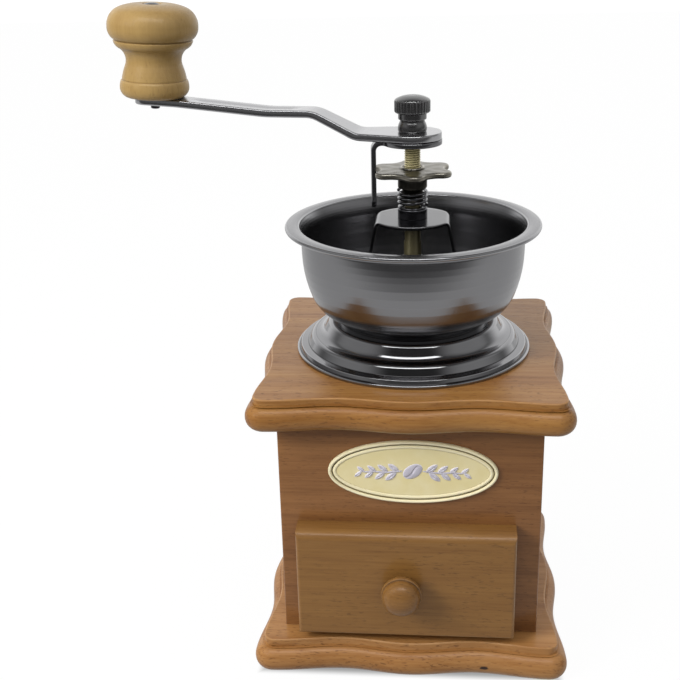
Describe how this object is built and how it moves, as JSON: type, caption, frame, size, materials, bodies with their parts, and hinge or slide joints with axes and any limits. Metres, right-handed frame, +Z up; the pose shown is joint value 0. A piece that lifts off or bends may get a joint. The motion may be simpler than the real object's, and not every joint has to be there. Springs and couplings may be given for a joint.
{
  "type": "manual coffee grinder",
  "caption": "Hand-cranked wooden box coffee grinder with open metal hopper bowl, conical burrs, star adjusting wheel, bent crank arm with turned grip, and pull-out drawer.",
  "frame": {"origin": "centre of the base board's underside", "axes": "+Z up along the crank shaft, -Y to the front, where the drawer opens, +X to the right; the crank rests pointing to -X"},
  "size_m": [0.2004, 0.1471, 0.2812],
  "materials": {
    "case_wood": "stained and satin varnished beech",
    "board_wood": "lighter satin varnished beech",
    "drawer_wood": "stained and satin varnished beech",
    "inner_wood": "bare beech and plywood",
    "grip_wood": "pale varnished turned beech",
    "black_nickel": "polished black nickel plate",
    "wheel_metal": "nickel plated casting",
    "burr_iron": "cast and ground",
    "brass_rod": "worn yellow plated thread",
    "bush_metal": "black nickel plate",
    "screw_steel": "plated screws",
    "plaque_cream": "cream enamel",
    "plaque_silver": "silvered relief"
  },
  "bodies": {
    "case": {"base_board": "board_wood", "top_board": "board_wood", "front_panel": "case_wood", "back_panel": "case_wood", "left_panel": "case_wood", "right_panel": "case_wood", "left_runner": "inner_wood", "right_runner": "inner_wood", "base_screws": "screw_steel", "top_dowels": "inner_wood", "plaque": "plaque_cream", "plaque_ornament": "plaque_silver", "hopper_bowl": "black_nickel", "hopper_flange": "black_nickel", "burr_housing": "burr_iron", "outer_burr": "burr_iron", "bridge": "black_nickel", "bridge_bush": "bush_metal", "bridge_screws": "screw_steel", "hopper_screws": "screw_steel", "lower_bracket": "screw_steel", "lower_bush": "bush_metal", "bracket_screws": "screw_steel"},
    "drawer": {"drawer_front": "drawer_wood", "drawer_left_side": "inner_wood", "drawer_right_side": "inner_wood", "drawer_back": "inner_wood", "drawer_bottom": "inner_wood", "drawer_knob": "drawer_wood", "drawer_knob_screw": "screw_steel"},
    "spring_set": {"coil_spring": "black_nickel", "spring_washer": "black_nickel"},
    "wheel": {"star_wheel": "wheel_metal"},
    "crank": {"crank_shaft": "brass_rod", "inner_burr": "burr_iron", "feed_sleeve": "burr_iron", "burr_washer": "screw_steel", "burr_nut": "screw_steel", "crank_arm": "black_nickel", "cap_nut": "black_nickel", "grip_pin": "bush_metal"},
    "clip": {"locking_clip": "black_nickel"},
    "grip": {"grip": "grip_wood"}
  },
  "joints": [
    {"name": "drawer_slide", "type": "slide", "parent": "case", "child": "drawer", "axis": [0, -1, 0], "range_m": [0, 0.075]},
    {"name": "crank_turn", "type": "hinge", "parent": "case", "child": "spring_set", "pos_m": [0, 0, 0.1954], "axis": [0, 0, 1], "continuous": true},
    {"name": "adjust_turn", "type": "hinge", "parent": "spring_set", "child": "wheel", "pos_m": [0, 0, 0.211], "axis": [0, 0, 1], "range_deg": [-270, 270]},
    {"name": "grind_lift", "type": "slide", "parent": "spring_set", "child": "crank", "axis": [0, 0, 1], "range_m": [-0.0008, 0.0008]},
    {"name": "clip_turn", "type": "hinge", "parent": "crank", "child": "clip", "pos_m": [0, 0, 0.224], "axis": [0, 0, 1], "range_deg": [-270, 270]},
    {"name": "grip_spin", "type": "hinge", "parent": "crank", "child": "grip", "pos_m": [-0.11358, 0.01596, 0.24131], "axis": [0.0518, -0.0073, 0.9986], "continuous": true}
  ],
  "couplings": [
    {"joint": "grind_lift", "follows": "adjust_turn", "m_per_rad": -0.00015915},
    {"joint": "clip_turn", "follows": "adjust_turn", "ratio": 1}
  ]
}
